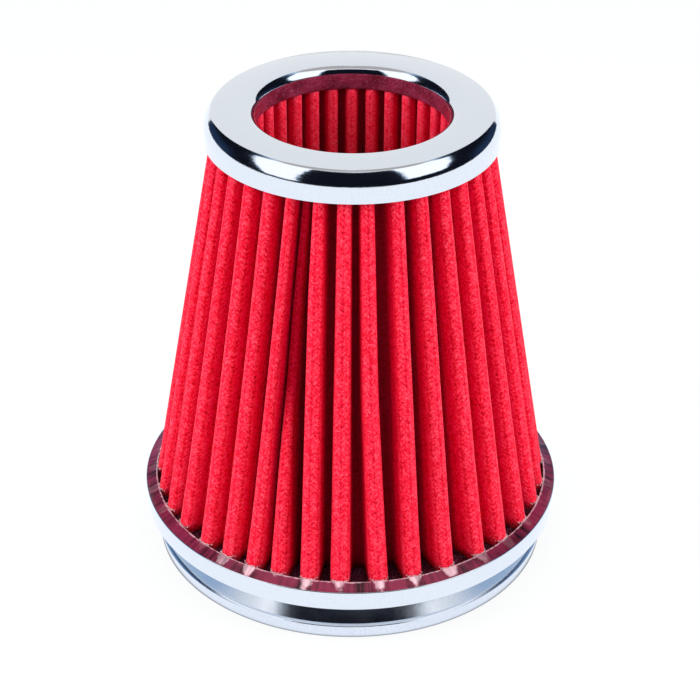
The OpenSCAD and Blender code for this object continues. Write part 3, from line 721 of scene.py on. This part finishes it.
def squeezeOutTree(values):
    tree, add, given = newGroup("squeezeOut", values)
    cloth = add("GeometryNodeObjectInfo", None, {"Object": given["cloth"]}).outputs["Geometry"]
    x, y, z = add(splitNode, None, [add("GeometryNodeInputPosition")]).outputs
    heading = add(mathNode, "ARCTAN2", [y, x])

    # the compound knows how far the cloth stands from its ridge in every direction
    probeR = add(mathNode, "MULTIPLY", [0.001, given["probeR"]])
    probe = add(joinNode, None, [
        add(mathNode, "MULTIPLY", [probeR, add(mathNode, "COSINE", [heading])]),
        add(mathNode, "MULTIPLY", [probeR, add(mathNode, "SINE", [heading])]),
        add(mathNode, "MULTIPLY", [0.001, given["probeZ"]])])
    reach = add("GeometryNodeProximity", None, {0: cloth, 2: probe}).outputs["Distance"]
    poured = add("GeometryNodeStoreNamedAttribute", None, {
        "Geometry": given["Geometry"], "Name": "near", "Value": add(mathNode, "MULTIPLY", [1000, reach])})

    place = add("GeometryNodeInputNamedAttribute", {"data_type": "FLOAT_VECTOR"}, {"Name": "cloth"})
    across, up, depth = add(splitNode, None, [place]).outputs
    atFoot = add("FunctionNodeBooleanMath", "AND", [
        add(mathNode, "LESS_THAN", [up, given["level"]]), add(mathNode, "LESS_THAN", [depth, 0.12])])
    spread = add("GeometryNodeDistributePointsOnFaces", None, {
        "Mesh": cloth, "Selection": atFoot, "Seed": given["seed"],
        "Density": add(mathNode, "MULTIPLY", [given["crumbs"], 1000000])})
    outward, lift, size, longer, askew = [
        add("FunctionNodeRandomValue", None, {
            2: low, 3: high, "Seed": add(mathNode, "ADD", [given["seed"], i])}).outputs[1]
        for i, (low, high) in enumerate(((1.001, 1.006), (0.0, 0.0006), (0.07, 0.21), (0.6, 1.7), (-0.7, 0.7)))]
    target = add(joinNode, None, [
        add(mathNode, "MULTIPLY", [x, outward]), add(mathNode, "MULTIPLY", [y, outward]),
        add(mathNode, "MULTIPLY_ADD", [0.001, given["footZ"], lift])])
    moved = add("GeometryNodeSetPosition", None, {"Geometry": spread, "Position": target})
    scale = add(joinNode, None, [
        add(mathNode, "MULTIPLY", [size, longer]), size, add(mathNode, "MULTIPLY", [size, 0.7])])
    turn = add(joinNode, None, {"Z": add(mathNode, "ADD", [heading, askew])})
    crumb = add("GeometryNodeMeshIcoSphere", None, {"Radius": 0.001, "Subdivisions": 1})
    strewn = add("GeometryNodeInstanceOnPoints", None, {
        "Points": moved, "Instance": crumb, "Rotation": turn, "Scale": scale})
    real = add("GeometryNodeRealizeInstances", None, {"Geometry": strewn})
    smooth = add("GeometryNodeSetShadeSmooth", None, {"Geometry": real})
    crumbs = add("GeometryNodeSetMaterial", None, {"Geometry": smooth, "Material": given["material"]})
    together = add("GeometryNodeJoinGeometry", None, [crumbs])
    tree.links.new(poured.outputs[0], together.inputs[0])
    add("NodeGroupOutput", None, {"Geometry": together})
    return tree


squeezeValues = dict(squeezeOut, cloth=pieces["outerPleats"], material=paleAdhesive)
useGroup(pieces["baseCompound"], squeezeOutTree(squeezeValues), squeezeValues)
applyModifiers(pieces["baseCompound"])
print("adhesive squeezed out")

for name, nodeName, slotName in (
        ("topRing", "top_ring", "chromed_top"), ("topCompound", "top_compound", "sealing_compound"),
        ("basePan", "base_pan", "chromed_base"), ("baseCompound", "base_compound", "base_sealing_compound"),
        ("footRing", "foot_ring", "chromed_foot"), ("outerPleats", "outer_pleats", "filter_cloth"),
        ("wellPleats", "well_pleats", "well_cloth")):
    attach(pieces[name], "root")
    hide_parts(nodeName)
print("pieces stand in for their nodes")


# the painted contact shadow's ring and "even" are distances from the axis in m; a lamp is its place and size in m and
# its power in W
studio = {"floor": "FDFEFE", "grain": "F6F7F8", "glow": "F7FAFF", "world": 0.48, "paperLift": 0.88, "paperGlow": 1.2,
          "contactShadow": (0.0716, 0.0725), "contactShadowGlow": 0.3, "even": (0.25, 0.9),
          "lamps": {"softboxLeft": ((-0.92, -0.22, 0.6), 0.6, 8.6), "softboxRight": ((0.92, -0.22, 0.6), 0.6, 7.4),
                    "softboxFront": ((0.0, -1.0, 0.85), 0.7, 2.4), "softboxTop": ((0.0, 0.1, 1.2), 0.9, 5.4)}}


def makeStudio(v):
    floor = meshObject("floor", [(-4, -4, 0), (4, -4, 0), (4, 4, 0), (-4, 4, 0)], [(0, 1, 2, 3)], False)
    material, add, space = newMaterial("studioFloor")
    grain = add(noiseNode, None, {"Vector": space, "Scale": 300.0, "Detail": 2.0})
    tone = add("ShaderNodeValToRGB", {"stops": ((0.0, v["grain"]), (1.0, v["floor"]))}, [grain])
    paper = add(surfaceNode, None, {"Base Color": tone, "Roughness": 0.9})
    # mirrored in the chrome the paper is evenly white but for a painted contact shadow, a dark line where the foot
    # stands on it
    flat = add(vectorNode, "MULTIPLY", [space, (1, 1, 0)])
    radius = add(vectorNode, "LENGTH", [flat]).outputs["Value"]
    contactShadow = add(rangeNode, None, [radius, *v["contactShadow"], v["contactShadowGlow"], v["paperGlow"]])
    glow = add("ShaderNodeEmission", None, {"Color": linearColour(v["glow"]), "Strength": contactShadow})
    # to the camera most of it is even white, and the rest keeps the soft shadow
    path = add("ShaderNodeLightPath").outputs
    even = add("ShaderNodeEmission", None, {"Color": linearColour(v["floor"]), "Strength": 1.0})
    far = add(rangeNode, eased, [radius, *v["even"], v["paperLift"], 1.0])
    lifted = add("ShaderNodeMixShader", None, [add(mathNode, "MULTIPLY", [far, path["Is Camera Ray"]]), paper, even])
    mixed = add("ShaderNodeMixShader", None, [path["Is Glossy Ray"], lifted, glow])
    add("ShaderNodeOutputMaterial", None, {"Surface": mixed})
    floor.data.materials.append(material)

    world = bpy.data.worlds.new("studio")
    bpy.context.scene.world = world
    world.use_nodes = True
    world.node_tree.nodes.clear()
    add = partial(addNode, world.node_tree)
    path = add("ShaderNodeLightPath").outputs
    mirrored = add(mathNode, "MAXIMUM", [path["Is Glossy Ray"], path["Is Transmission Ray"]])
    seen = add(mathNode, "MAXIMUM", [path["Is Camera Ray"], mirrored])
    strength = add(mathNode, "MULTIPLY_ADD", [seen, 1 - v["world"], v["world"]])
    back = add("ShaderNodeBackground", None, {"Color": linearColour(v["floor"]), "Strength": strength})
    add("ShaderNodeOutputWorld", None, {"Surface": back})

    for name, (place, size, power) in v["lamps"].items():
        data = bpy.data.lights.new(name, "AREA")
        data.shape = "SQUARE"
        data.size = size
        data.energy = power
        lamp = newObject(name, data)
        lamp.location = place
        lamp.rotation_euler = (Vector((0, 0, 0.09)) - Vector(place)).to_track_quat("-Z", "Y").to_euler()
        # the chrome mirrors the card's soft windows instead of the lamps
        lamp.visible_glossy = False
    bpy.context.scene.view_settings.view_transform = "Standard"


def cardFaces(start, columns, rows):
    corners = [start + i * (rows + 1) + j for i in range(columns) for j in range(rows)]
    return [(a, a + rows + 1, a + rows + 2, a + 1) for a in corners]


def hangCard(card, material):
    # seen only in reflections
    card.data.materials.append(material)
    for ray in ("camera", "diffuse", "shadow", "transmission"):
        setattr(card, "visible_" + ray, False)


# a card round the front of the object: dark before the camera and near the horizon, with a soft
# bright window to either side; radius and centre in m, the rest in degrees
cardShape = {"radius": 1.6, "centre": 0.09, "columns": 96, "rows": 40, "sides": 141, "low": -1, "high": 89,
             "front": 39.5, "frontTop": 56.0, "side": 66.0, "sideLean": 0.72, "sideTop": 56.0, "groundLeft": 4.0,
             "groundRight": 13.0, "ceiling": 62.0, "torn": 12.0, "blue": "1B2D48", "above": "A9A4A2",
             "stops": ((0.0, "12151F"), (0.3, "4C6480"), (0.65, "C4D8EC"), (1.0, "FFFFFF"))}


def makeCard(v):
    points = []
    for i in range(v["columns"] + 1):
        a = math.radians(-v["sides"] + 2 * v["sides"] * i / v["columns"] - 90)
        for j in range(v["rows"] + 1):
            e = math.radians(v["low"] + (v["high"] - v["low"]) * j / v["rows"])
            r = v["radius"] * math.cos(e)
            points.append((r * math.cos(a), r * math.sin(a), v["centre"] + v["radius"] * math.sin(e)))
    card = meshObject("darkCard", points, cardFaces(0, v["columns"], v["rows"]))
    material, add, space = newMaterial("darkCard")
    x, y, z = add(splitNode, None, [space]).outputs
    turn = add(mathNode, "ARCTAN2", [x, add(mathNode, "MULTIPLY", [y, -1])])
    side = add(mathNode, "DEGREES", [add(mathNode, "ABSOLUTE", [turn])])
    up = add(mathNode, "DIVIDE", [add(mathNode, "SUBTRACT", [z, v["centre"]]), v["radius"]])
    rise = add(mathNode, "DEGREES", [add(mathNode, "ARCSINE", [up])])
    # the edges of the dark are torn by a few degrees, as the photo's reflections are
    torn = add(noiseNode, None, {"Vector": space, "Scale": 9.0, "Detail": 4.0, "Roughness": 0.7})
    tear = add(mathNode, "SUBTRACT", [torn, 0.5])
    ragged = add(mathNode, "MULTIPLY_ADD", [v["torn"], tear, side])
    beyondFront = add(rangeNode, eased, [ragged, v["front"] - 2.0, v["front"] + 2.5])
    overFront = add(rangeNode, eased, [rise, v["frontTop"], v["frontTop"] + 2.5])
    # the side's edge leans outward with height
    edge = add(mathNode, "MULTIPLY_ADD", [add(mathNode, "SUBTRACT", [rise, 6.0]), -v["sideLean"], ragged])
    beforeSide = add(rangeNode, eased, [edge, v["side"] - 2.5, v["side"] + 3.5, 1.0, 0.0])
    overSide = add(rangeNode, eased, [rise, v["sideTop"] - 8.0, v["sideTop"] + 14.0])
    onRight = add(mathNode, "GREATER_THAN", [x, 0.0])
    ground = add(mathNode, "MULTIPLY_ADD", [onRight, v["groundRight"] - v["groundLeft"], v["groundLeft"]])
    high = add(mathNode, "MULTIPLY_ADD", [0.4 * v["torn"], tear, rise])
    overGround = add(rangeNode, eased, [add(mathNode, "SUBTRACT", [high, ground]), -1.5, 2.0])
    window = add(mathNode, "MULTIPLY", [add(mathNode, "MAXIMUM", [beyondFront, overFront]),
                                        add(mathNode, "MAXIMUM", [beforeSide, overSide])])
    light = add(mathNode, "MULTIPLY", [overGround, window])
    tone = add("ShaderNodeValToRGB", {"stops": v["stops"]}, [light])
    # low and well to the side the dark turns blue, and a warm grey ceiling closes the windows above
    blue = add(rangeNode, eased, [ragged, 90.0, 110.0])
    lowDown = add(rangeNode, eased, [rise, 6.0, 24.0, 1.0, 0.0])
    bluish = add("ShaderNodeMix", dict(inColour, blend_type="ADD"), {
        0: add(mathNode, "MULTIPLY", [blue, lowDown]), 6: tone, 7: linearColour(v["blue"])}).outputs[2]
    ceiling = add(rangeNode, eased, [rise, v["ceiling"] - 3.0, v["ceiling"] + 3.0])
    colour = add("ShaderNodeMix", inColour, {0: ceiling, 6: bluish, 7: linearColour(v["above"])}).outputs[2]
    strength = add(mathNode, "MULTIPLY_ADD", [light, 0.35, 1.0])
    add("ShaderNodeOutputMaterial", None, {
        "Surface": add("ShaderNodeEmission", None, {"Color": colour, "Strength": strength})})
    hangCard(card, material)


# low cards to either side keep the foot's cove blue; radius and height in m, the rest in degrees
lowCards = {"radius": 0.115, "height": 0.055, "lift": 0.001, "from": 30.0, "to": 166.0, "columns": 40, "rows": 8,
            "stops": ((0.0, "DCE8F4"), (0.45, "9DBBDC"), (0.75, "5E80A8"), (1.0, "2E4666")), "white": "FAFCFF"}


def makeLowCards(v):
    points = []
    for sign in (-1, 1):
        for i in range(v["columns"] + 1):
            a = math.radians(sign * (v["from"] + (v["to"] - v["from"]) * i / v["columns"]) - 90)
            x, y = v["radius"] * math.cos(a), v["radius"] * math.sin(a)
            points += [(x, y, v["lift"] + v["height"] * j / v["rows"]) for j in range(v["rows"] + 1)]
    faces = cardFaces(0, v["columns"], v["rows"]) + cardFaces(len(points) // 2, v["columns"], v["rows"])
    card = meshObject("lowCards", points, faces)
    material, add, space = newMaterial("lowCards")
    x, y, height = add(splitNode, None, [space]).outputs
    turn = add(mathNode, "ARCTAN2", [x, add(mathNode, "MULTIPLY", [y, -1])])
    side = add(mathNode, "DEGREES", [add(mathNode, "ABSOLUTE", [turn])])
    torn = add(noiseNode, None, {"Vector": space, "Scale": 60.0, "Detail": 3.0})
    share = add(mathNode, "DIVIDE", [height, v["height"]])
    ragged = add(mathNode, "MULTIPLY_ADD", [0.3, add(mathNode, "SUBTRACT", [torn, 0.5]), share])
    tone = add("ShaderNodeValToRGB", {"stops": v["stops"]}, [ragged])
    # toward the front the card turns white, then into nothing
    whiter = add(rangeNode, eased, [side, 40.0, 62.0, 1.0, 0.0])
    colour = add("ShaderNodeMix", inColour, {0: whiter, 6: tone, 7: linearColour(v["white"])}).outputs[2]
    glow = add("ShaderNodeEmission", None, {"Color": colour, "Strength": 1.0})
    shown = add(rangeNode, eased, [side, 32.0, 42.0])
    pale = add("ShaderNodeMixShader", None, [shown, add("ShaderNodeBsdfTransparent"), glow])
    add("ShaderNodeOutputMaterial", None, {"Surface": pale})
    hangCard(card, material)


makeStudio(studio)
makeCard(cardShape)
makeLowCards(lowCards)
print("studio made")
